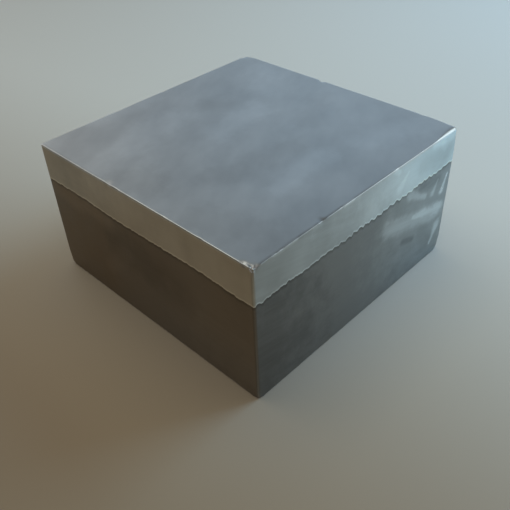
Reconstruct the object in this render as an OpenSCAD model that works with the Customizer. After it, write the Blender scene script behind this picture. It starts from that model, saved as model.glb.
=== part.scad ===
// Clad metal plate: an aluminium plate explosion-bonded on a thicker steel plate and sawn to a square block.
// Millimetres, +Z up. The origin is at the centre of the underside of the steel.

/* [Block] */
// Length of the front and back faces, along X
block_length = 100; // [40:1:300]
// Length of the side faces, along Y
block_depth = 100; // [40:1:300]
// Thickness of the aluminium, from the mean bond level to the top
cladding_t = 13; // [5:0.5:40]
// Thickness of the steel, from the underside to the mean bond level
base_t = 38.5; // [8:0.5:120]

/* [Broken edges] */
// Setback of the flat filed on the edges of the top
top_break = 0.3; // [0.1:0.1:2]
// Setback of the flat filed on the four upright edges
upright_break = 0.5; // [0.1:0.1:2]
// Setback of the flat filed on the edges of the underside
bottom_break = 0.6; // [0.1:0.1:2]

/* [Bond waves] */
// Length of a mean wave, measured along its travel
wave_length = 3.2; // [1.5:0.1:8]
// Height of a mean wave, from trough to crest
wave_height = 0.6; // [0.2:0.05:1.6]
// Share of the second harmonic in a wave, which steepens its rise
wave_lean = 0.3; // [0:0.05:0.5]
// Share of the wave height that comes and goes along the travel
height_beat = 0.4; // [0:0.05:0.6]
// Length over which the wave height comes and goes
beat_length = 75; // [20:1:150]
// How far the waves run ahead of an even pitch and fall behind it
pitch_wander = 0.6; // [0:0.05:1]
// Length over which the pitch wanders
wander_length = 43; // [20:1:100]
// Height of the slow swell that carries the waves, from trough to crest
swell_height = 0.4; // [0:0.05:1]
// Length of the slow swell
swell_length = 17; // [8:0.5:40]
// Angle in plan between the travel of the waves and the front face
travel_angle = 3; // [0:1:45]
// Straight steps that draw one wave
wave_steps = 10; // [6:1:16]

/* [Hidden] */

block_height = base_t + cladding_t;
// What a cutting shape stands proud of the block
spare = 5;
// Where along the travel a wave starts, the waves are tallest, fall back to an even pitch, and ride up on the swell
wave_start = 2.65;
beat_crest = 6.4;
wander_start = 33.5;
swell_start = 24;

// Half the travel that crosses the block from corner to corner, in whole waves
half_waves = ceil((block_length * cos(travel_angle) + block_depth * sin(travel_angle)) / 2 / wave_length) + 1;
// Half the crest length that covers the block from corner to corner
half_crest = (block_length * sin(travel_angle) + block_depth * cos(travel_angle)) / 2 + spare;

// Unit wave at a turn in degrees: a steep rise and a long fall
function unit_wave(turn) = (sin(turn) + wave_lean * sin(2 * turn)) / 2;
// Local wave height, lead over an even pitch, turn and swell at a distance s along the travel
function local_height(s) = wave_height * (1 + height_beat * cos(360 * (s - beat_crest) / beat_length));
function lead(s) = pitch_wander * sin(360 * (s - wander_start) / wander_length);
function local_turn(s) = 360 * (s - wave_start + lead(s)) / wave_length;
function swell(s) = swell_height / 2 * sin(360 * (s - swell_start) / swell_length);
// Rise of the bond above its mean level
function bond_rise(s) = local_height(s) * unit_wave(local_turn(s)) + swell(s);

// Section through the aluminium side of the bond: the wave below, flat above
function bond_section() = [
    for (i = [-half_waves * wave_steps : half_waves * wave_steps])
        let (s = i * wave_length / wave_steps) [s, base_t + bond_rise(s)],
    [half_waves * wave_length, block_height + spare],
    [-half_waves * wave_length, block_height + spare]
];

// A rectangle with its corners cut off, from the origin's side outwards
module broken_rectangle(size, low_break, high_break) {
    x = size[0] / 2;
    polygon([
        [-x + low_break, 0], [x - low_break, 0], [x, low_break], [x, size[1] - high_break],
        [x - high_break, size[1]], [-x + high_break, size[1]], [-x, size[1] - high_break], [-x, low_break]
    ]);
}

// The sawn block with every outer edge broken
module sawn_block() {
    intersection() {
        translate([0, -block_depth / 2, -spare])
            linear_extrude(block_height + 2 * spare)
                broken_rectangle([block_length, block_depth], upright_break, upright_break);
        translate([0, block_depth / 2 + spare, 0])
            rotate([90, 0, 0])
                linear_extrude(block_depth + 2 * spare)
                    broken_rectangle([block_length, block_height], bottom_break, top_break);
        translate([-block_length / 2 - spare, 0, 0])
            rotate([90, 0, 90])
                linear_extrude(block_length + 2 * spare)
                    broken_rectangle([block_depth, block_height], bottom_break, top_break);
    }
}

// All the space on the aluminium side of the bond
module above_bond() {
    rotate([0, 0, travel_angle])
        translate([0, half_crest, 0])
            rotate([90, 0, 0])
                linear_extrude(2 * half_crest)
                    polygon(bond_section());
}

module aluminium_cladding() {
    color("#a3adb2")
        intersection() {
            sawn_block();
            above_bond();
        }
}

module steel_base() {
    color("#5b5d5c")
        difference() {
            sawn_block();
            above_bond();
        }
}

aluminium_cladding();
steel_base();
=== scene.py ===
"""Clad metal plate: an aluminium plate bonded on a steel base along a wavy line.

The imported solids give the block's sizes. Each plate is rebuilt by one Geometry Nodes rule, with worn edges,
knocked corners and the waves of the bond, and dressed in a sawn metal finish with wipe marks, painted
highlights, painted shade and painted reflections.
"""

import logging
import math
from dataclasses import dataclass, field
from enum import Enum
from typing import ClassVar, Dict, Sequence, Tuple, Union

import bpy
from mathutils import Matrix, Vector

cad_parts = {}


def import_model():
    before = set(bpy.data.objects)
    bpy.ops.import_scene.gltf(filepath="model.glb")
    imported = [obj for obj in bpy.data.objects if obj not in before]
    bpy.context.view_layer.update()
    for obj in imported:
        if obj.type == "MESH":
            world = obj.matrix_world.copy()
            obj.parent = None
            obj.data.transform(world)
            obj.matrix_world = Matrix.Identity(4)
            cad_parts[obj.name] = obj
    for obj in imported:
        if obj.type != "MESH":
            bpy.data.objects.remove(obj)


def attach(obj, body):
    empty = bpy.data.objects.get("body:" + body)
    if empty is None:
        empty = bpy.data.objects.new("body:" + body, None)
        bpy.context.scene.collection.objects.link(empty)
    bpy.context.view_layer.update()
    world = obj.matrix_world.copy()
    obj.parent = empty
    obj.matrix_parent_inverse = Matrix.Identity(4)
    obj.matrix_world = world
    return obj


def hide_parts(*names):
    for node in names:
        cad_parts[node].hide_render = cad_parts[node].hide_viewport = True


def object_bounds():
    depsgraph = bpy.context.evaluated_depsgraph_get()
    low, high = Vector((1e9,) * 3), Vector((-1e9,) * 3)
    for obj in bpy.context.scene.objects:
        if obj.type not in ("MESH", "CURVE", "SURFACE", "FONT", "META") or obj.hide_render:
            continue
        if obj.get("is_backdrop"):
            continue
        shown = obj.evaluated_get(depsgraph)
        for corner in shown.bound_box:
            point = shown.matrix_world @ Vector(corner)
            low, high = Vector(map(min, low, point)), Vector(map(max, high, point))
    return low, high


LOG = logging.getLogger("clad_plate")
MM = 0.001
EDGE_WEAR = "edge_wear"
BOND_GAP = "bond_gap"
BAKE_MAP = "OFBake"
# The grid step past which a point counts as on a face, and the least divisor
ON_FACE = 0.9999
TINY = 1e-7

Pair = Tuple[float, float]
Triple = Tuple[float, float, float]
Number = Union["Term", float]


class Outward(Enum):
    """The way a plate's free face looks, away from the bond."""

    UP = 1.0
    DOWN = -1.0


class Side(Enum):
    """A face of the block: the axis that it looks along and which way."""

    FRONT = (1, -1.0)
    BACK = (1, 1.0)
    LEFT = (0, -1.0)
    RIGHT = (0, 1.0)
    TOP = (2, 1.0)

    def point(self, spot: Pair, reach: Triple) -> Vector:
        """Finds a spot of this face in space.

        Args:
            spot: the two coordinates that run along the face.
            reach: how far the block reaches along each axis.

        Returns:
            The point.
        """
        axis, sign = self.value
        parts = list(spot)
        parts.insert(axis, sign * reach[axis])
        return Vector(parts)


class Term:
    """A number inside a node tree, written with the signs of plain arithmetic."""

    def __init__(self, tree: bpy.types.NodeTree, socket: bpy.types.NodeSocket) -> None:
        """Keeps the tree and the output socket that holds the number."""
        self.tree = tree
        self.socket = socket

    def feed(self, slot: bpy.types.NodeSocket) -> None:
        """Links the number to an input socket."""
        self.tree.links.new(self.socket, slot)

    def math(self, operation: str, *others: Number) -> "Term":
        """Adds one Math node.

        Args:
            operation: Blender's name of the operation.
            others: the further numbers, each a term or a constant.

        Returns:
            The result.
        """
        node = self.tree.nodes.new("ShaderNodeMath")
        node.operation = operation
        for slot, value in zip(node.inputs, (self, *others)):
            put(value, slot)
        return Term(self.tree, node.outputs[0])

    def __add__(self, other: Number) -> "Term":
        """Sum."""
        return self.math("ADD", other)

    __radd__ = __add__

    def __mul__(self, other: Number) -> "Term":
        """Product."""
        return self.math("MULTIPLY", other)

    __rmul__ = __mul__

    def __sub__(self, other: Number) -> "Term":
        """Difference."""
        return self.math("SUBTRACT", other)

    def __rsub__(self, other: Number) -> "Term":
        """Difference from a constant."""
        return (self * -1.0) + other

    def __truediv__(self, other: Number) -> "Term":
        """Quotient."""
        return self.math("DIVIDE", other)

    def __abs__(self) -> "Term":
        """Size without sign."""
        return self.math("ABSOLUTE")

    def ramp(self, low: Number, high: Number, to_low: Number = 0.0, to_high: Number = 1.0) -> "Term":
        """Eases from one value to another as the number crosses a range.

        Args:
            low: where the ramp starts.
            high: where it ends.
            to_low: the value before the start.
            to_high: the value past the end.

        Returns:
            The eased value.
        """
        node = self.tree.nodes.new("ShaderNodeMapRange")
        node.interpolation_type = "SMOOTHSTEP"
        for slot, value in zip(node.inputs, (self, low, high, to_low, to_high)):
            put(value, slot)
        return Term(self.tree, node.outputs[0])


def put(value: Union[Number, Triple], slot: bpy.types.NodeSocket) -> None:
    """Links a term to a socket, or writes a constant on it."""
    if isinstance(value, Term):
        value.feed(slot)
    else:
        slot.default_value = value


def vector_of(tree: bpy.types.NodeTree, parts: Sequence[Number]) -> Term:
    """Joins three numbers into a vector.

    Args:
        tree: the tree to add to.
        parts: the three numbers.

    Returns:
        The vector.
    """
    node = tree.nodes.new("ShaderNodeCombineXYZ")
    for slot, value in zip(node.inputs, parts):
        put(value, slot)
    return Term(tree, node.outputs[0])


def parts_of(vector: Term) -> Tuple[Term, Term, Term]:
    """Splits a vector into its three numbers."""
    node = vector.tree.nodes.new("ShaderNodeSeparateXYZ")
    vector.feed(node.inputs[0])
    x, y, z = (Term(vector.tree, out) for out in node.outputs)
    return x, y, z


def vector_math(operation: str, a: Term, b: Union[Term, Triple], out: str = "Vector") -> Term:
    """Adds one Vector Math node.

    Args:
        operation: Blender's name of the operation.
        a: the first vector.
        b: the second, a term or a constant.
        out: the output to read.

    Returns:
        The result.
    """
    node = a.tree.nodes.new("ShaderNodeVectorMath")
    node.operation = operation
    a.feed(node.inputs[0])
    put(b, node.inputs[1])
    return Term(a.tree, node.outputs[out])


def scaled(vector: Term, by: Number) -> Term:
    """Scales a vector by a number."""
    node = vector.tree.nodes.new("ShaderNodeVectorMath")
    node.operation = "SCALE"
    vector.feed(node.inputs[0])
    put(by, node.inputs["Scale"])
    return Term(vector.tree, node.outputs[0])


def noise(vector: Term, scale: Number, detail: float = 2.0, rough: float = 0.5) -> Term:
    """Smooth random value from 0 to 1 at a place.

    Args:
        vector: the place.
        scale: features to a metre, or to a unit of the vector.
        detail: octaves of finer detail.
        rough: strength of the finer octaves.

    Returns:
        The value.
    """
    node = vector.tree.nodes.new("ShaderNodeTexNoise")
    vector.feed(node.inputs["Vector"])
    put(scale, node.inputs["Scale"])
    node.inputs["Detail"].default_value = detail
    node.inputs["Roughness"].default_value = rough
    return Term(vector.tree, node.outputs[0])


@dataclass(frozen=True)
class BondWave:
    """The rule of the wavy bond as the solids have it, in metres and degrees, and the torn line over it."""

    length: float = 3.2 * MM
    start: float = 2.65 * MM
    height: float = 0.6 * MM
    lean: float = 0.3
    beat: float = 0.4
    beat_length: float = 75 * MM
    beat_crest: float = 6.4 * MM
    wander: float = 0.6 * MM
    wander_length: float = 43 * MM
    wander_start: float = 33.5 * MM
    swell: float = 0.4 * MM
    swell_length: float = 17 * MM
    swell_start: float = 24 * MM
    travel_angle: float = 3.0
    ragged: float = 1.05 * MM
    ragged_scale: float = 420.0
    ragged_detail: float = 3.0
    ragged_rough: float = 0.75


@dataclass(frozen=True)
class Knock:
    """A dent in an edge or corner: its place, its reach, how far it pushes the metal and how unevenly."""

    at: Triple
    reach: float
    push: Triple
    crumple: float


@dataclass(frozen=True)
class Roll:
    """A stretch of edge that rubbing has rolled over: its middle, its reach and how much rounder it is."""

    at: Triple
    reach: float
    radius: float


@dataclass(frozen=True)
class BakeMap:
    """Where a plate's six faces lie on its square bake map.

    Attributes:
        spots: the low left corner of each face.
        scale: how much of the map a metre takes.
        own_scales: the same for the faces that have a scale of their own.
        ends_upright: whether the left and right faces stand on end.
        bond_room: the room that the bond's waves get below their mean level.
    """

    spots: Dict[str, Pair]
    scale: float
    own_scales: Dict[str, float]
    ends_upright: bool = False
    bond_room: float = 2 * MM


@dataclass
class PlateShape:
    """The Geometry Nodes rule of one plate, from the bond to its free face."""

    name: str
    length: float
    depth: float
    bond_level: float
    free_level: float
    outward: Outward
    edge_radius: float
    upright_radius: float
    knocks: Sequence[Knock]
    bake: BakeMap
    rolls: Sequence[Roll] = ()
    wave: BondWave = field(default_factory=BondWave)
    cells: Tuple[int, int, int] = (250, 160, 18)
    edge_cells: int = 10
    edge_band: float = 1.3 * MM
    edge_unevenness: float = 0.7
    uneven_scale: float = 60.0
    uneven_detail: float = 3.0
    nick_depth: float = 0.35 * MM
    nick_scale: float = 210.0
    nick_range: Pair = (0.62, 0.78)
    crumple_scale: float = 1100.0
    seed_offset: float = 3.0
    tree: bpy.types.NodeTree = field(init=False)
    inputs: bpy.types.Node = field(init=False)
    sockets: Dict[str, str] = field(init=False, default_factory=dict)
    values: Dict[str, object] = field(init=False, default_factory=dict)

    def build(self, material: bpy.types.Material) -> bpy.types.Object:
        """Builds the tree, runs it and keeps the plain mesh.

        Args:
            material: the finish of the plate.

        Returns:
            The finished piece, at the origin.
        """
        self.tree = bpy.data.node_groups.new(f"{self.name}_rule", "GeometryNodeTree")
        self._declare(material)
        self._grow()
        piece = bpy.data.objects.new(self.name, bpy.data.meshes.new(self.name))
        bpy.context.scene.collection.objects.link(piece)
        rule = piece.modifiers.new("rule", "NODES")
        rule.node_group = self.tree
        for name, value in self.values.items():
            rule[self.sockets[name]] = value
        graph = bpy.context.evaluated_depsgraph_get()
        made = bpy.data.meshes.new_from_object(
            piece.evaluated_get(graph), preserve_all_data_layers=True, depsgraph=graph
        )
        piece.modifiers.remove(rule)
        piece.data = made
        made.name = self.name
        return piece

    def _declare(self, material: bpy.types.Material) -> None:
        wave = self.wave
        numbers = {
            "Length": self.length, "Depth": self.depth,
            "Bond level": self.bond_level, "Free level": self.free_level, "Outward": self.outward.value,
            "Edge radius": self.edge_radius, "Upright radius": self.upright_radius,
            "Edge band": self.edge_band,
            "Edge unevenness": self.edge_unevenness, "Nick depth": self.nick_depth,
            "Wave length": wave.length, "Wave start": wave.start,
            "Wave height": wave.height, "Wave lean": wave.lean,
            "Height beat": wave.beat, "Beat length": wave.beat_length, "Beat crest": wave.beat_crest,
            "Pitch wander": wave.wander, "Wander length": wave.wander_length,
            "Wander start": wave.wander_start, "Swell height": wave.swell,
            "Swell length": wave.swell_length, "Swell start": wave.swell_start,
            "Travel angle": math.radians(wave.travel_angle), "Raggedness": wave.ragged,
            "Seed": self.seed_offset,
        }
        counts = {"Cells along": self.cells[0], "Cells across": self.cells[1],
                  "Cells up": self.cells[2], "Edge cells": self.edge_cells}
        made = self.tree.interface
        made.new_socket(name="Plate", in_out="OUTPUT", socket_type="NodeSocketGeometry")
        for kind, values in (("NodeSocketFloat", numbers), ("NodeSocketInt", counts),
                             ("NodeSocketMaterial", {"Finish": material})):
            for name, value in values.items():
                socket = made.new_socket(name=name, in_out="INPUT", socket_type=kind)
                self.sockets[name] = socket.identifier
                self.values[name] = value
        self.inputs = self.tree.nodes.new("NodeGroupInput")

    def _size(self, name: str) -> Term:
        """A named input of the tree."""
        return Term(self.tree, self.inputs.outputs[name])

    def _node(self, kind: str, **settings: object) -> bpy.types.Node:
        """Adds a node and sets its properties."""
        node = self.tree.nodes.new(kind)
        for name, value in settings.items():
            setattr(node, name, value)
        return node

    def _graded(self, step: Term, half: Term, share: Term) -> Term:
        """Spaces even grid steps so that the edge band gets the close ones.

        Args:
            step: the even place, from -1 to 1.
            half: half the plate's size.
            share: the share of the steps that the edge band gets.

        Returns:
            The place in metres.
        """
        band = self._size("Edge band")
        plain = 1.0 - share
        inner = abs(step).math("MINIMUM", plain) / plain * (half - band)
        outer = (abs(step) - plain).math("MAXIMUM", 0.0) / share * band
        return step.math("SIGN") * (inner + outer)

    def _turns(self, travel: Term, start: str, length: str) -> Term:
        """Angle of a periodic part of the bond along the waves' travel."""
        return (travel - self._size(start)) / self._size(length) * math.tau

    def _bond(self, x: Term, y: Term) -> Term:
        """Height of the bond above its mean level at a place in plan."""
        angle = self._size("Travel angle")
        travel = x * angle.math("COSINE") + y * angle.math("SINE")
        beat = self._turns(travel, "Beat crest", "Beat length").math("COSINE")
        height = self._size("Wave height") * (beat * self._size("Height beat") + 1.0)
        lag = self._size("Pitch wander") * self._turns(travel, "Wander start", "Wander length").math("SINE")
        turn = (travel - self._size("Wave start") + lag) / self._size("Wave length") * math.tau
        crest = turn.math("SINE") + self._size("Wave lean") * (turn * 2.0).math("SINE")
        swell = self._turns(travel, "Swell start", "Swell length").math("SINE") * self._size("Swell height")
        plan, wave = vector_of(self.tree, (x, y, 0.0)), self.wave
        torn = noise(plan, wave.ragged_scale, wave.ragged_detail, wave.ragged_rough) - 0.5
        return height * crest / 2.0 + swell / 2.0 + torn * 2.0 * self._size("Raggedness")

    def _knocked(self, place: Term) -> Term:
        """Pushes the metal in where the plate has been knocked."""
        rough = noise(place, self.crumple_scale, 1.0) - 0.5
        for knock in self.knocks:
            away = vector_math("DISTANCE", place, knock.at, "Value") / knock.reach
            depth = (1.0 - away).ramp(0.0, 1.0) * (rough * knock.crumple * 2.0 + 1.0)
            push = vector_of(self.tree, tuple(depth * part for part in knock.push))
            place = vector_math("ADD", place, push)
        return place

    def _rubbed(self, x: Term, y: Term, z: Term) -> Tuple[Term, Term]:
        """Rounds the outer edges unevenly, with nicks and rolled stretches.

        Args:
            x: the place along the sharp-edged plate.
            y: the place across it.
            z: the height.

        Returns:
            The place on the worn plate, and how worn it is there.
        """
        place = vector_of(self.tree, (x, y, z))
        spot = vector_math("ADD", place, vector_of(self.tree, (0.0, 0.0, self._size("Seed"))))
        unevenness = (noise(spot, self.uneven_scale, self.uneven_detail) - 0.5) * 2.0
        uneven = unevenness * self._size("Edge unevenness") + 1.0
        nick = noise(spot, self.nick_scale, 1.0).ramp(*self.nick_range) * self._size("Nick depth")
        edge = self._size("Edge radius") * uneven + nick
        for roll in self.rolls:
            away = vector_math("DISTANCE", place, roll.at, "Value") / roll.reach
            edge = edge + (1.0 - away).ramp(0.0, 1.0) * roll.radius
        upright = (self._size("Upright radius") * uneven).math("MAXIMUM", edge)
        half_x, half_y = self._size("Length") / 2.0, self._size("Depth") / 2.0
        core_x = x.math("MINIMUM", half_x - upright).math("MAXIMUM", upright - half_x)
        core_y = y.math("MINIMUM", half_y - upright).math("MAXIMUM", upright - half_y)
        reach_x, reach_y = x - core_x, y - core_y
        plan = self._rounded(reach_x, reach_y)
        outward = self._size("Outward")
        inset = (half_x - abs(x)).math("MINIMUM", half_y - abs(y))
        past_side = (edge - inset).math("MAXIMUM", 0.0)
        past_face = (edge - (self._size("Free level") - z) * outward).math("MAXIMUM", 0.0)
        brink = self._rounded(past_side, past_face)
        span = (reach_x * reach_x + reach_y * reach_y).math("SQRT")
        draw_in = plan - past_side * (1.0 - brink) / span.math("MAXIMUM", TINY)
        rounded = vector_of(self.tree, (
            core_x + reach_x * draw_in,
            core_y + reach_y * draw_in,
            z - past_face * (1.0 - brink) * outward,
        ))
        return rounded, (1.0 - plan.math("MINIMUM", brink)) / (1.0 - math.sqrt(0.5))

    def _grow(self) -> None:
        """Writes the rule: a graded grid, the bond, the worn edges, the knocks and the bake map."""
        tree = self.tree
        cube = self._node("GeometryNodeMeshCube")
        cube.inputs["Size"].default_value = (2.0, 2.0, 2.0)
        for axis, name in zip("XYZ", ("Cells along", "Cells across", "Cells up")):
            (self._size(name) + 1.0).feed(cube.inputs[f"Vertices {axis}"])
        step = Term(tree, self._node("GeometryNodeInputPosition").outputs[0])
        u, v, w = parts_of(step)
        outward, band = self._size("Outward"), self._size("Edge band")
        edge_cells = self._size("Edge cells")
        x = self._graded(u, self._size("Length") / 2.0, edge_cells * 2.0 / self._size("Cells along"))
        y = self._graded(v, self._size("Depth") / 2.0, edge_cells * 2.0 / self._size("Cells across"))
        bond = self._size("Bond level") + self._bond(x, y)
        rise = (w * outward + 1.0) / 2.0
        share = edge_cells / self._size("Cells up")
        plain = 1.0 - share
        band_foot = self._size("Free level") - outward * band
        z = (bond + rise.math("MINIMUM", plain) / plain * (band_foot - bond)
             + (rise - plain).math("MAXIMUM", 0.0) / share * band * outward)
        rubbed, worn = self._rubbed(x, y, z)

        smooth = self._node("GeometryNodeSetShadeSmooth", domain="FACE")
        tree.links.new(cube.outputs["Mesh"], smooth.inputs[0])
        crease = self._node("GeometryNodeSetShadeSmooth", domain="EDGE")
        tree.links.new(smooth.outputs[0], crease.inputs[0])
        at_bond = (w * outward).math("LESS_THAN", -ON_FACE)
        at_side = abs(u).math("MAXIMUM", abs(v)).math("GREATER_THAN", ON_FACE)
        (at_bond * at_side).feed(crease.inputs["Selection"])
        crease.inputs["Shade Smooth"].default_value = False

        shape = crease.outputs[0]
        for name, value in ((EDGE_WEAR, worn), (BOND_GAP, abs(z - bond))):
            shape = self._stored(shape, name, "FLOAT", "POINT", value)
        shape = self._stored(shape, BAKE_MAP, "FLOAT2", "CORNER", self._bake_map(step, x, y, z))
        moved = self._node("GeometryNodeSetPosition")
        tree.links.new(shape, moved.inputs["Geometry"])
        self._knocked(rubbed).feed(moved.inputs["Position"])
        whole = self._node("GeometryNodeRealizeInstances")
        tree.links.new(moved.outputs[0], whole.inputs[0])
        dressed = self._node("GeometryNodeSetMaterial")
        tree.links.new(whole.outputs[0], dressed.inputs["Geometry"])
        self._size("Finish").feed(dressed.inputs["Material"])
        tree.links.new(dressed.outputs[0], self._node("NodeGroupOutput").inputs[0])

    @staticmethod
    def _rounded(a: Term, b: Term) -> Term:
        """Factor that draws a point of a square corner in onto a round one.

        Args:
            a: how far the point lies past the round's centre one way.
            b: how far it lies past it the other way.

        Returns:
            The factor, 1 away from the corner.
        """
        widest = abs(a).math("MAXIMUM", abs(b)).math("MAXIMUM", TINY)
        span = (a * a + b * b).math("SQRT").math("MAXIMUM", TINY)
        return (widest / span).math("MINIMUM", 1.0)

    def _stored(self, shape: bpy.types.NodeSocket, name: str, kind: str, domain: str,
                value: Term) -> bpy.types.NodeSocket:
        """Stores a value on the mesh under a name.

        Args:
            shape: the mesh so far.
            name: the attribute's name.
            kind: Blender's data type.
            domain: where it is kept.
            value: the value.

        Returns:
            The mesh with the attribute.
        """
        node = self._node("GeometryNodeStoreNamedAttribute", data_type=kind, domain=domain)
        self.tree.links.new(shape, node.inputs["Geometry"])
        node.inputs["Name"].default_value = name
        value.feed(node.inputs["Value"])
        return node.outputs[0]

    def _bake_map(self, step: Term, x: Term, y: Term, z: Term) -> Term:
        """Lays the six faces side by side on a square map, each at its own spot.

        Args:
            step: the even place on the grid.
            x: the graded place along the plate.
            y: the graded place across it.
            z: the height.

        Returns:
            The place on the map.
        """
        on_face = self._node("GeometryNodeFieldOnDomain", data_type="FLOAT_VECTOR", domain="FACE")
        step.feed(on_face.inputs[0])
        a, b, c = parts_of(Term(self.tree, on_face.outputs[0]))
        bake, free_sign = self.bake, self.outward.value
        lowest = min(self.free_level, self.bond_level - bake.bond_room)
        along, across, up = x + self.length / 2.0, y + self.depth / 2.0, z - lowest
        ends = (up, across) if bake.ends_upright else (across, up)
        faces = (
            ("free", c * free_sign, (along, across)), ("bond", c * -free_sign, (along, across)),
            ("front", b * -1.0, (along, up)), ("back", b, (along, up)),
            ("left", a * -1.0, ends), ("right", a, ends),
        )
        total = None
        for name, side, (s, t) in faces:
            here = side.math("GREATER_THAN", ON_FACE)
            left, low = bake.spots[name]
            scale = bake.own_scales.get(name, bake.scale)
            laid = vector_of(self.tree, ((s * scale + left) * here, (t * scale + low) * here, 0.0))
            total = laid if total is None else vector_math("ADD", total, laid)
        return total


@dataclass(frozen=True)
class SmearOrPaintedLight:
    """A soft smear on a face, or a painted highlight or painted shade laid the same way, in millimetres.

    Attributes:
        start: where it starts, by the two coordinates that run along the face.
        end: where it ends.
        width: half its width at the start.
        light: how light it is, or how dark below zero.
        taper: the share of its width that is lost by its end.
    """

    start: Pair
    end: Pair
    width: float
    light: float
    taper: float = 0.0
    rim_ragged: ClassVar[float] = 2.2
    rim_range: ClassVar[Pair] = (1.25, 0.2)

    def laid(self, side: Side, reach: Triple, place: Term, ragged: Term) -> Term:
        """Lays the smear, painted highlight or painted shade.

        Args:
            side: the face that it lies on.
            reach: how far the block reaches along each axis.
            place: the place on the piece.
            ragged: a random value that breaks its rim up.

        Returns:
            How much lighter the place gets, or darker below zero.
        """
        start, end = (side.point((a * MM, b * MM), reach) for a, b in (self.start, self.end))
        line = end - start
        from_start = vector_math("SUBTRACT", place, tuple(start))
        along = vector_math("DOT_PRODUCT", from_start, tuple(line), "Value") / line.length_squared
        along = along.math("MAXIMUM", 0.0).math("MINIMUM", 1.0)
        nearest = scaled(vector_of(place.tree, tuple(line)), along)
        width = self.width * MM * (1.0 - along * self.taper)
        off = vector_math("DISTANCE", from_start, nearest, "Value") / width
        return (off + (ragged - 0.5) * self.rim_ragged).ramp(*self.rim_range) * self.light


SmearsAndPaintedLight = Dict[Side, Tuple[SmearOrPaintedLight, ...]]


@dataclass(frozen=True)
class Grain:
    """A random pattern: its features to a metre each way, its turn in degrees and its finer detail."""

    scale: Triple
    turn: Triple = (0.0, 0.0, 0.0)
    detail: float = 2.0
    rough: float = 0.6


class NodeMaterial:
    """A node material with the parts that the finishes here are made from."""

    FACE_RIM: ClassVar[Pair] = (1.2 * MM, 0.3 * MM)
    PAINTED_TINT_START: ClassVar[float] = -0.4

    def __init__(self, name: str, reach: Triple = (0.0, 0.0, 0.0)) -> None:
        """Starts a material with a Principled shader, for a block that reaches so far along each axis."""
        self.material = bpy.data.materials.new(name)
        self.material.use_nodes = True
        self.tree = self.material.node_tree
        self.shader = self.tree.nodes["Principled BSDF"]
        node = self.tree.nodes.new("ShaderNodeTexCoord")
        self.place = Term(self.tree, node.outputs["Object"])
        self.reach = reach

    def attribute(self, name: str) -> Term:
        """A number stored on the mesh."""
        node = self.tree.nodes.new("ShaderNodeAttribute")
        node.attribute_name = name
        return Term(self.tree, node.outputs["Fac"])

    def pattern(self, grain: Grain) -> Term:
        """Lays a random pattern over the piece, from 0 to 1."""
        node = self.tree.nodes.new("ShaderNodeMapping")
        node.vector_type = "TEXTURE"
        node.inputs["Rotation"].default_value = tuple(math.radians(part) for part in grain.turn)
        node.inputs["Scale"].default_value = tuple(1.0 / part for part in grain.scale)
        self.place.feed(node.inputs["Vector"])
        return noise(Term(self.tree, node.outputs[0]), 1.0, grain.detail, grain.rough)

    def on(self, side: Side) -> Term:
        """Mask of one face of the block."""
        axis, sign = side.value
        outset = parts_of(self.place)[axis] * sign
        return outset.ramp(*(self.reach[axis] - rim for rim in self.FACE_RIM))

    def painted_tint_cover(self, side: Side, near: float, far: float) -> Term:
        """Cover of a painted tint of light and shade on one upright face.

        Args:
            side: the face.
            near: how strong the painted tint is on the half that comes first along the other axis.
            far: how strong it grows towards the far end.

        Returns:
            The cover, nothing on other faces.
        """
        axis = 1 - side.value[0]
        end = self.reach[axis]
        return self.on(side) * parts_of(self.place)[axis].ramp(self.PAINTED_TINT_START * end, end, near, far)

    def summed_smears_and_paint(self, smears_and_painted_light: SmearsAndPaintedLight, ragged: Term) -> Term:
        """Sums the smears, painted highlights and painted shade of every face.

        Args:
            smears_and_painted_light: the smears of each face, with its painted highlights and painted shade.
            ragged: a random value that breaks their rims up.

        Returns:
            How much lighter each place gets.
        """
        total = None
        for side, smears in smears_and_painted_light.items():
            here = None
            for wipe in smears:
                laid = wipe.laid(side, self.reach, self.place, ragged)
                here = laid if here is None else here + laid
            here = here * self.on(side)
            total = here if total is None else total + here
        return total

    def bump(self, height: Term, strength: float, distance: float) -> None:
        """Feeds a height to the shader's normal."""
        node = self.tree.nodes.new("ShaderNodeBump")
        node.inputs["Strength"].default_value = strength
        node.inputs["Distance"].default_value = distance
        height.feed(node.inputs["Height"])
        self.tree.links.new(node.outputs[0], self.shader.inputs["Normal"])

    def colour(self, tone: Triple, gain: Term, painted_tints: Sequence[Tuple[Term, Triple]]) -> None:
        """Feeds a tone to the base colour.

        Args:
            tone: the bare metal's colour.
            gain: how light the metal is.
            painted_tints: the painted tints of light and shade that lie on it, each with how much of it there
                is and what it lets through.
        """
        shown = scaled(vector_of(self.tree, tone), gain)
        for cover, painted_tint in painted_tints:
            tint = vector_of(self.tree, tuple(cover * (part - 1.0) + 1.0 for part in painted_tint))
            shown = vector_math("MULTIPLY", shown, tint)
        shown.feed(self.shader.inputs["Base Color"])


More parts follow.
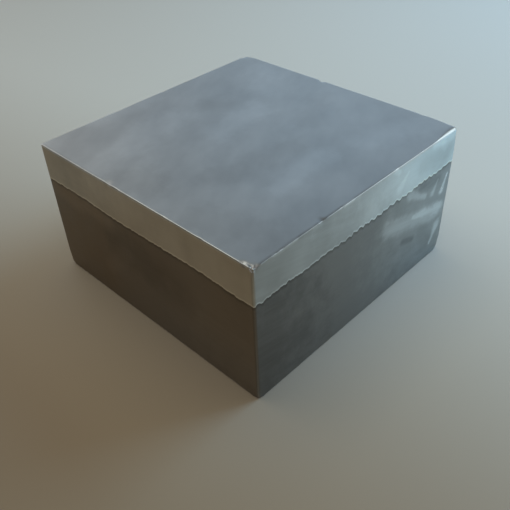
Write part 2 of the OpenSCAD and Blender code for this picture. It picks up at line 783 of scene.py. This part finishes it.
ALUMINIUM_SMEARS_AND_PAINTED_LIGHT: SmearsAndPaintedLight = {
    Side.TOP: (
        SmearOrPaintedLight((-34, 24), (-8, 30), 9.0, 0.11),
        SmearOrPaintedLight((-6, 8), (16, 12), 7.0, 0.11),
        SmearOrPaintedLight((-18, -30), (6, -27), 6.0, 0.13),
        SmearOrPaintedLight((-28, 49), (-5, 48), 5.0, 0.10),
        SmearOrPaintedLight((20, -33), (48, -42), 7.0, 0.07),
        SmearOrPaintedLight((30, 20), (44, 34), 8.0, 0.06),
        SmearOrPaintedLight((-49, 8), (-41, 4), 9.0, -0.14),
        SmearOrPaintedLight((7, 27), (11, 24), 6.0, -0.09),
        SmearOrPaintedLight((-24, -12), (4, -16), 7.0, -0.09),
        SmearOrPaintedLight((-44, -24), (-36, -45), 9.0, -0.10),
        SmearOrPaintedLight((20, -8), (40, 0), 6.0, -0.05),
    ),
    Side.FRONT: (
        # Painted highlight: a burnished patch by the top front edge near the far corner, painted lighter as a
        # glint.
        SmearOrPaintedLight((36, 50.8), (46.5, 49.6), 2.4, 0.17),
        SmearOrPaintedLight((41, 49), (43, 46.5), 1.8, 0.08),
        SmearOrPaintedLight((16.8, 42.6), (21, 47), 1.9, 0.13, 0.7),
        SmearOrPaintedLight((13.5, 51), (15.5, 49.5), 1.5, 0.14),
        SmearOrPaintedLight((4, 45), (28, 44), 7.0, 0.08),
        SmearOrPaintedLight((31, 45.5), (45, 43.5), 4.5, -0.12),
        # Painted shade: the near end of the front face painted darker.
        SmearOrPaintedLight((-50, 45), (-25, 45), 34.0, -0.24),
        # Painted highlights: light dashes along the top front edge.
        SmearOrPaintedLight((-42, 51.4), (-33, 51.4), 0.9, 0.20),
        SmearOrPaintedLight((-12, 51.4), (-8, 51.4), 0.9, 0.22),
    ),
    Side.LEFT: (
        SmearOrPaintedLight((50, 45), (38, 45), 26.0, -0.14),
        SmearOrPaintedLight((-50, 45), (-30, 45), 20.0, 0.05),
    ),
    Side.RIGHT: (
        SmearOrPaintedLight((-34, 48), (-12, 44), 5.0, 0.12),
        SmearOrPaintedLight((8, 46), (30, 49), 6.0, 0.10),
        SmearOrPaintedLight((38, 44), (46, 41), 4.0, -0.10),
    ),
    Side.BACK: (
        SmearOrPaintedLight((30, 47), (4, 43), 5.0, 0.12),
        SmearOrPaintedLight((-16, 49), (-40, 46), 5.0, 0.10),
    ),
}
STEEL_SMEARS_AND_PAINTED_LIGHT: SmearsAndPaintedLight = {
    Side.FRONT: (
        # Painted light: the far end of the front face painted lighter.
        SmearOrPaintedLight((30, 25), (50, 25), 30.0, 0.30),
        SmearOrPaintedLight((12, 29), (45, 20.5), 4.0, 0.46),
        SmearOrPaintedLight((45, 21.5), (28, 26), 3.0, 0.50, 0.6),
        SmearOrPaintedLight((24.5, 36), (34, 31.4), 2.5, 0.52, 0.5),
        SmearOrPaintedLight((45.2, 28.2), (47.6, 34.5), 1.8, 1.0, 0.75),
        SmearOrPaintedLight((39, 30), (41.6, 34.6), 1.6, 0.50, 0.7),
        SmearOrPaintedLight((46, 13.6), (42.6, 6.4), 2.9, 0.72, 0.7),
        SmearOrPaintedLight((31, 36.5), (42, 35), 2.6, -0.25),
        SmearOrPaintedLight((23, 18), (29, 16), 2.0, -0.35),
        SmearOrPaintedLight((35, 16), (40, 9), 4.0, -0.16),
        # Painted shade: the near end of the front face painted darker.
        SmearOrPaintedLight((-50, 20), (-46, 20), 30.0, -0.32),
    ),
    Side.LEFT: (
        SmearOrPaintedLight((47, 35), (16, 35.5), 4.5, 0.22),
        SmearOrPaintedLight((20, 14), (8, 26), 4.0, 0.10),
        SmearOrPaintedLight((12, 28), (-18, 24), 10.0, -0.16),
        SmearOrPaintedLight((-50, 20), (-30, 22), 22.0, 0.14),
    ),
    Side.RIGHT: (
        SmearOrPaintedLight((-40, 30), (-8, 20), 7.0, 0.22),
        SmearOrPaintedLight((-22, 26), (-10, 22), 3.0, 0.18),
        SmearOrPaintedLight((4, 33), (14, 28), 5.0, 0.20),
        SmearOrPaintedLight((26, 14), (44, 22), 8.0, 0.18),
        SmearOrPaintedLight((-20, 9), (-12, 7), 4.0, -0.16),
    ),
    Side.BACK: (
        SmearOrPaintedLight((38, 28), (6, 18), 8.0, 0.20),
        SmearOrPaintedLight((30, 27), (16, 22), 3.5, 0.16),
        SmearOrPaintedLight((-8, 33), (-26, 25), 6.0, 0.20),
        SmearOrPaintedLight((-34, 12), (-44, 18), 6.0, -0.14),
    ),
}


@dataclass(frozen=True)
class WipedMetal:
    """A sawn metal with clouds, saw lines, wipe marks among which some are painted highlights and painted
    shade, a line along the bond, and painted tints on two sides: a warm painted shade on the left face and a
    cool painted reflection on the front face.

    A light is a share of the bare tone, a polish comes off the roughness, and a depth is a share of the bump.
    """

    name: str
    tone: Triple
    roughness: float
    smears_and_painted_light: SmearsAndPaintedLight
    ragged: Grain
    clouds: Grain
    lines: Grain
    streaks: Grain
    speckle: Grain
    streak_range: Pair
    # Painted tints: a warm painted shade on the left face and a cool painted reflection on the front face.
    painted_warm_shade: Triple
    painted_warm_shade_cover: Pair
    painted_cool_reflection: Triple
    cloud_light: float
    line_light: float
    wear_light: float
    bond_light: float
    bond_band: Pair
    bond_ragged: float
    cloud_rough: float
    wipe_polish: float
    wear_polish: float
    speckle_depth: float
    line_depth: float
    bump: float
    # How patchy the painted warm shade on the left face is.
    painted_shade_patchiness: float = 0.0
    top_cloud_depth: float = 0.0
    # Cover of the painted cool reflection on the front face, from its near end to its far end.
    painted_cool_reflection_cover: Pair = (0.2, 1.1)
    bump_height: float = 0.05 * MM

    def make(self, reach: Triple) -> bpy.types.Material:
        """Builds the material.

        Args:
            reach: how far the block reaches along each axis.

        Returns:
            The material.
        """
        made = NodeMaterial(self.name, reach)
        made.shader.inputs["Metallic"].default_value = 1.0
        top = made.on(Side.TOP)
        sides = 1.0 - top
        ragged = made.pattern(self.ragged)
        clouds = made.pattern(self.clouds) - 0.5
        lines = made.pattern(self.lines) - 0.5
        faint, strong = self.streak_range
        streaks = made.pattern(self.streaks) * (strong - faint) + faint
        # Smears together with the painted highlights, painted light and painted shade.
        smear_and_painted_light = made.summed_smears_and_paint(self.smears_and_painted_light, ragged) * streaks
        worn = made.attribute(EDGE_WEAR)
        by_bond = made.attribute(BOND_GAP).ramp(*self.bond_band) * (ragged + self.bond_ragged)
        gain = (1.0 + clouds * self.cloud_light + lines * self.line_light * sides + smear_and_painted_light
                + worn * self.wear_light + by_bond * self.bond_light)
        patchy = sides * (clouds * self.painted_shade_patchiness + 1.0)
        made.colour(self.tone, gain, (
            # Painted warm shade: the left face darker and browner, more so towards its back end.
            (made.painted_tint_cover(Side.LEFT, *self.painted_warm_shade_cover) * patchy, self.painted_warm_shade),
            # Painted cool reflection: the front face bluer towards its far end.
            (made.painted_tint_cover(Side.FRONT, *self.painted_cool_reflection_cover) * sides, self.painted_cool_reflection),
        ))
        rough = (self.roughness + clouds * self.cloud_rough - smear_and_painted_light * self.wipe_polish
                 - worn * self.wear_polish)
        rough.feed(made.shader.inputs["Roughness"])
        height = (made.pattern(self.speckle) * self.speckle_depth + lines * self.line_depth
                  + clouds * self.top_cloud_depth * top)
        made.bump(height, self.bump, self.bump_height)
        return made.material


@dataclass(frozen=True)
class DullAluminium(WipedMetal):
    """Dull aluminium: soft clouds on top, sides with wipe marks and burnish, painted highlights and painted
    shade, and a light rim at the bond.
    """

    name: str = "dull_aluminium"
    tone: Triple = (0.70, 0.745, 0.77)
    roughness: float = 0.34
    smears_and_painted_light: SmearsAndPaintedLight = field(default_factory=lambda: ALUMINIUM_SMEARS_AND_PAINTED_LIGHT)
    ragged: Grain = Grain((110.0, 110.0, 110.0), detail=6.0, rough=0.65)
    clouds: Grain = Grain((45.0, 80.0, 45.0), (0.0, 0.0, 30.0), detail=3.0, rough=0.55)
    lines: Grain = Grain((60.0, 60.0, 4200.0))
    streaks: Grain = Grain((30.0, 30.0, 520.0), (0.0, 14.0, 0.0), detail=3.0)
    speckle: Grain = Grain((1800.0, 1800.0, 1800.0))
    streak_range: Pair = (0.55, 1.45)
    # Painted warm shade on the left face and painted cool reflection on the front face.
    painted_warm_shade: Triple = (0.88, 0.82, 0.75)
    painted_warm_shade_cover: Pair = (0.9, 1.8)
    painted_cool_reflection: Triple = (0.90, 1.02, 1.07)
    cloud_light: float = 0.48
    line_light: float = 0.10
    wear_light: float = 0.15
    bond_light: float = 0.6
    bond_band: Pair = (0.9 * MM, 0.1 * MM)
    bond_ragged: float = 0.1
    cloud_rough: float = 0.12
    wipe_polish: float = 0.10
    wear_polish: float = 0.08
    speckle_depth: float = 0.4
    line_depth: float = 0.5
    bump: float = 0.22
    top_cloud_depth: float = 6.0


@dataclass(frozen=True)
class SawnSteel(WipedMetal):
    """Sawn steel: dark and dull, with streaky wipe marks, painted light and painted shade on its faces, and a
    dark line under the bond.
    """

    name: str = "sawn_steel"
    tone: Triple = (0.30, 0.305, 0.305)
    roughness: float = 0.42
    smears_and_painted_light: SmearsAndPaintedLight = field(default_factory=lambda: STEEL_SMEARS_AND_PAINTED_LIGHT)
    ragged: Grain = Grain((100.0, 100.0, 100.0), detail=6.0, rough=0.65)
    clouds: Grain = Grain((30.0, 30.0, 30.0), detail=4.0, rough=0.55)
    lines: Grain = Grain((50.0, 50.0, 3600.0))
    streaks: Grain = Grain((28.0, 28.0, 420.0), (0.0, 14.0, 0.0), detail=3.0)
    speckle: Grain = Grain((1500.0, 1500.0, 1500.0))
    streak_range: Pair = (0.5, 1.5)
    # Painted warm shade on the left face and painted cool reflection on the front face.
    painted_warm_shade: Triple = (0.80, 0.70, 0.60)
    painted_warm_shade_cover: Pair = (0.9, 1.5)
    painted_cool_reflection: Triple = (0.96, 1.09, 1.18)
    cloud_light: float = 0.35
    line_light: float = 0.12
    wear_light: float = 0.2
    bond_light: float = -0.36
    bond_band: Pair = (1.5 * MM, 0.2 * MM)
    bond_ragged: float = 0.4
    cloud_rough: float = 0.16
    wipe_polish: float = 0.12
    wear_polish: float = 0.0
    speckle_depth: float = 0.5
    line_depth: float = 0.6
    bump: float = 0.25
    # How patchy the painted warm shade on the left face is.
    painted_shade_patchiness: float = 0.8


@dataclass(frozen=True)
class PaleFloor:
    """Plain floor with a faint sheen: pale and cool, turning warm and darker towards the left, a painted
    shade that stands for light falling off across the floor.
    """

    painted_light_tone: Triple = (0.52, 0.52, 0.51)
    painted_shade_tone: Triple = (0.20, 0.15, 0.10)
    painted_light_way: Triple = (0.978, 0.208, 0.0)
    turn_start: float = -0.15
    turn_end: float = 0.10
    roughness: float = 0.45
    size: float = 6.0
    drop: float = 0.05 * MM

    def lay(self) -> bpy.types.Object:
        """Builds the floor.

        Returns:
            The floor, marked as stage.
        """
        made = NodeMaterial("pale_floor")
        along = vector_math("DOT_PRODUCT", made.place, self.painted_light_way, "Value")
        # Painted light and shade: the floor's tone turns from pale and cool to warm and dark across it.
        cool = along.ramp(self.turn_start, self.turn_end)
        tone = vector_math(
            "ADD",
            scaled(vector_of(made.tree, self.painted_light_tone), cool),
            scaled(vector_of(made.tree, self.painted_shade_tone), 1.0 - cool),
        )
        tone.feed(made.shader.inputs["Base Color"])
        made.shader.inputs["Roughness"].default_value = self.roughness
        half = self.size / 2
        mesh = bpy.data.meshes.new("floor")
        corners = [(-half, -half), (half, -half), (half, half), (-half, half)]
        mesh.from_pydata([(x, y, -self.drop) for x, y in corners], [], [(0, 1, 2, 3)])
        mesh.materials.append(made.material)
        floor = bpy.data.objects.new("floor", mesh)
        bpy.context.scene.collection.objects.link(floor)
        floor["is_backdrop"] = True
        return floor


@dataclass
class CladPlate:
    """The bonded block: the aluminium cladding on the steel base."""

    length: float
    depth: float
    height: float
    base_t: float = 38.5 * MM

    def cladding(self) -> bpy.types.Object:
        """Builds and dresses the aluminium cladding.

        Returns:
            The piece.
        """
        x, y, z = self.length / 2, self.depth / 2, self.height
        shape = PlateShape(
            name="aluminium_plate", length=self.length, depth=self.depth,
            bond_level=self.base_t, free_level=self.height, outward=Outward.UP,
            edge_radius=0.32 * MM, upright_radius=0.6 * MM,
            knocks=(
                Knock((-x, -y, z - 0.6 * MM), 3.2 * MM, (0.32 * MM, 0.32 * MM, -0.42 * MM), 1.7),
                Knock((-x, -y + 3.4 * MM, z), 1.7 * MM, (0.35 * MM, 0.0, -0.35 * MM), 1.2),
                Knock((x, y, z), 4.5 * MM, (-0.5 * MM, -0.5 * MM, -0.25 * MM), 0.4),
                Knock((x, 9 * MM, z), 1.6 * MM, (-0.3 * MM, 0.0, -0.4 * MM), 0.6),
                Knock((-x, 12 * MM, z), 2.4 * MM, (0.15 * MM, 0.0, -0.2 * MM), 0.6),
                Knock((-22 * MM, -y, z), 2.0 * MM, (0.0, 0.15 * MM, -0.2 * MM), 0.8),
            ),
            rolls=(Roll((46.5 * MM, -y, z), 12 * MM, 1.25 * MM),),
            bake=BakeMap(
                spots={"free": (0.01, 0.01), "front": (0.01, 0.79), "back": (0.01, 0.895),
                       "left": (0.79, 0.01), "right": (0.895, 0.01), "bond": (0.79, 0.79)},
                scale=7.6, own_scales={"bond": 1.9}, ends_upright=True,
            ),
        )
        finish = DullAluminium().make((x, y, z))
        return self._dress(shape, finish, "aluminium_cladding")

    def base(self) -> bpy.types.Object:
        """Builds and dresses the steel base.

        Returns:
            The piece.
        """
        x, y = self.length / 2, self.depth / 2
        shape = PlateShape(
            name="steel_plate", length=self.length, depth=self.depth,
            bond_level=self.base_t, free_level=0.0, outward=Outward.DOWN,
            edge_radius=0.6 * MM, upright_radius=0.6 * MM,
            knocks=(
                Knock((-x, -y, 0.0), 2.4 * MM, (0.35 * MM, 0.35 * MM, 0.25 * MM), 0.8),
                Knock((x, -y, 0.0), 3.2 * MM, (-0.45 * MM, 0.45 * MM, 0.3 * MM), 0.6),
                Knock((-x, y, 0.0), 2.6 * MM, (0.3 * MM, -0.3 * MM, 0.2 * MM), 0.6),
            ),
            bake=BakeMap(
                spots={"front": (0.005, 0.005), "back": (0.005, 0.255), "left": (0.005, 0.505),
                       "right": (0.005, 0.755), "free": (0.63, 0.005), "bond": (0.63, 0.4)},
                scale=6.0, own_scales={"free": 3.6, "bond": 2.0},
            ),
            seed_offset=7.0,
        )
        finish = SawnSteel().make((x, y, self.height))
        return self._dress(shape, finish, "steel_base")

    def _dress(self, shape: PlateShape, finish: bpy.types.Material, node: str) -> bpy.types.Object:
        """Builds a plate, puts it on its body and hides the solid that it replaces.

        Args:
            shape: the plate's rule.
            finish: its material.
            node: the solid that it replaces.

        Returns:
            The piece.
        """
        piece = shape.build(finish)
        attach(piece, "root")
        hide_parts(node)
        LOG.info("%s: %d faces", piece.name, len(piece.data.polygons))
        return piece


@dataclass(frozen=True)
class SoftBox:
    """A soft square lamp that looks at the block and isn't mirrored in it."""

    name: str
    at: Triple
    size: float
    power: float
    colour: Triple
    target: Triple = (0.0, 0.0, 0.02)

    def hang(self) -> bpy.types.Object:
        """Hangs the lamp.

        Returns:
            The lamp.
        """
        lamp = bpy.data.lights.new(self.name, "AREA")
        lamp.shape = "SQUARE"
        lamp.size = self.size
        lamp.energy = self.power
        lamp.color = self.colour
        made = bpy.data.objects.new(self.name, lamp)
        made.visible_glossy = False
        made.location = self.at
        made.rotation_mode = "QUATERNION"
        made.rotation_quaternion = (Vector(self.target) - Vector(self.at)).to_track_quat("-Z", "Y")
        bpy.context.scene.collection.objects.link(made)
        return made


@dataclass(frozen=True)
class SkyPatch:
    """A soft patch of light in the world: the way to it, its colour and how tightly it gathers."""

    way: Triple
    colour: Triple
    tightness: float

    def shine(self, way: Term) -> Term:
        """Adds the patch's light.

        Args:
            way: the direction looked in.

        Returns:
            The light seen there.
        """
        facing = vector_math("DOT_PRODUCT", way, tuple(Vector(self.way).normalized()), "Value")
        level = facing.math("MAXIMUM", 0.0).math("POWER", self.tightness)
        return scaled(vector_of(way.tree, self.colour), level)


@dataclass(frozen=True)
class Studio:
    """Plain soft light: cool from the far right, warmer from the left, with a grey fill all round."""

    fill: Triple = (0.035, 0.035, 0.035)
    patches: Tuple[SkyPatch, ...] = (
        SkyPatch((0.81, 0.52, 0.265), (0.375, 0.48, 0.575), 11.0),
        SkyPatch((-0.038, 0.991, 0.126), (0.83, 0.765, 0.73), 9.0),
        SkyPatch((0.80, -0.40, 0.45), (0.88, 1.0, 1.02), 16.0),
        SkyPatch((-0.10, 0.56, 0.82), (1.0, 0.97, 0.85), 14.0),
        SkyPatch((-0.542, -0.542, 0.643), (0.45, 0.405, 0.375), 3.0),
        SkyPatch((0.80, -0.58, 0.10), (0.40, 0.47, 0.50), 14.0),
    )
    lamps: Tuple[SoftBox, ...] = (
        SoftBox("right_lamp", (0.58, -0.20, 0.42), 0.4, 4.5, (0.40, 0.72, 1.0)),
        SoftBox("high_lamp", (0.0, 0.0, 0.7), 0.8, 1.9, (1.0, 0.86, 0.46)),
    )

    def light(self) -> None:
        """Builds the world and hangs the lamps."""
        world = bpy.data.worlds.new("studio")
        bpy.context.scene.world = world
        world.use_nodes = True
        tree = world.node_tree
        way = Term(tree, tree.nodes.new("ShaderNodeTexCoord").outputs["Generated"])
        sky = vector_of(tree, self.fill)
        for patch in self.patches:
            sky = vector_math("ADD", sky, patch.shine(way))
        sky.feed(tree.nodes["Background"].inputs["Color"])
        for lamp in self.lamps:
            lamp.hang()


@dataclass(frozen=True)
class PhotoCamera:
    """A camera at the photograph's angle, aimed at the middle of the underside."""

    azimuth: float = -44.48
    elevation: float = 38.70
    roll: float = -2.62
    distance: float = 248.3 * MM
    side: float = 0.2 * MM
    rise: float = -0.3 * MM
    lens: float = 45.16
    sensor: float = 36.0
    nearest: float = 10 * MM

    def place(self) -> bpy.types.Object:
        """Makes it the scene's camera.

        Returns:
            The camera.
        """
        turn, lift, roll = (math.radians(a) for a in (self.azimuth, self.elevation, self.roll))
        back = Vector((math.sin(turn) * math.cos(lift), -math.cos(turn) * math.cos(lift), math.sin(lift)))
        level = (-back).cross(Vector((0.0, 0.0, 1.0))).normalized()
        upright = level.cross(-back)
        right = level * math.cos(roll) + upright * math.sin(roll)
        up = upright * math.cos(roll) - level * math.sin(roll)
        spot = back * self.distance + right * self.side + up * self.rise
        data = bpy.data.cameras.new("camera")
        data.sensor_width = self.sensor
        data.lens = self.lens
        data.clip_start = self.nearest
        made = bpy.data.objects.new("camera", data)
        made.matrix_world = Matrix((
            (right.x, up.x, back.x, spot.x),
            (right.y, up.y, back.y, spot.y),
            (right.z, up.z, back.z, spot.z),
            (0.0, 0.0, 0.0, 1.0),
        ))
        bpy.context.scene.collection.objects.link(made)
        bpy.context.scene.camera = made
        return made


def main() -> None:
    """Loads the solids, reads their box, builds the block, its stage and its light."""
    logging.basicConfig(level=logging.INFO)
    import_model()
    solid_box = [list(corner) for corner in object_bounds()]
    low, high = (Vector(corner) for corner in solid_box)
    bpy.context.scene.view_settings.view_transform = "Standard"
    PhotoCamera().place()
    plate = CladPlate(length=high.x - low.x, depth=high.y - low.y, height=high.z - low.z)
    plate.cladding()
    plate.base()
    PaleFloor().lay()
    Studio().light()


if __name__ == "__main__":
    main()
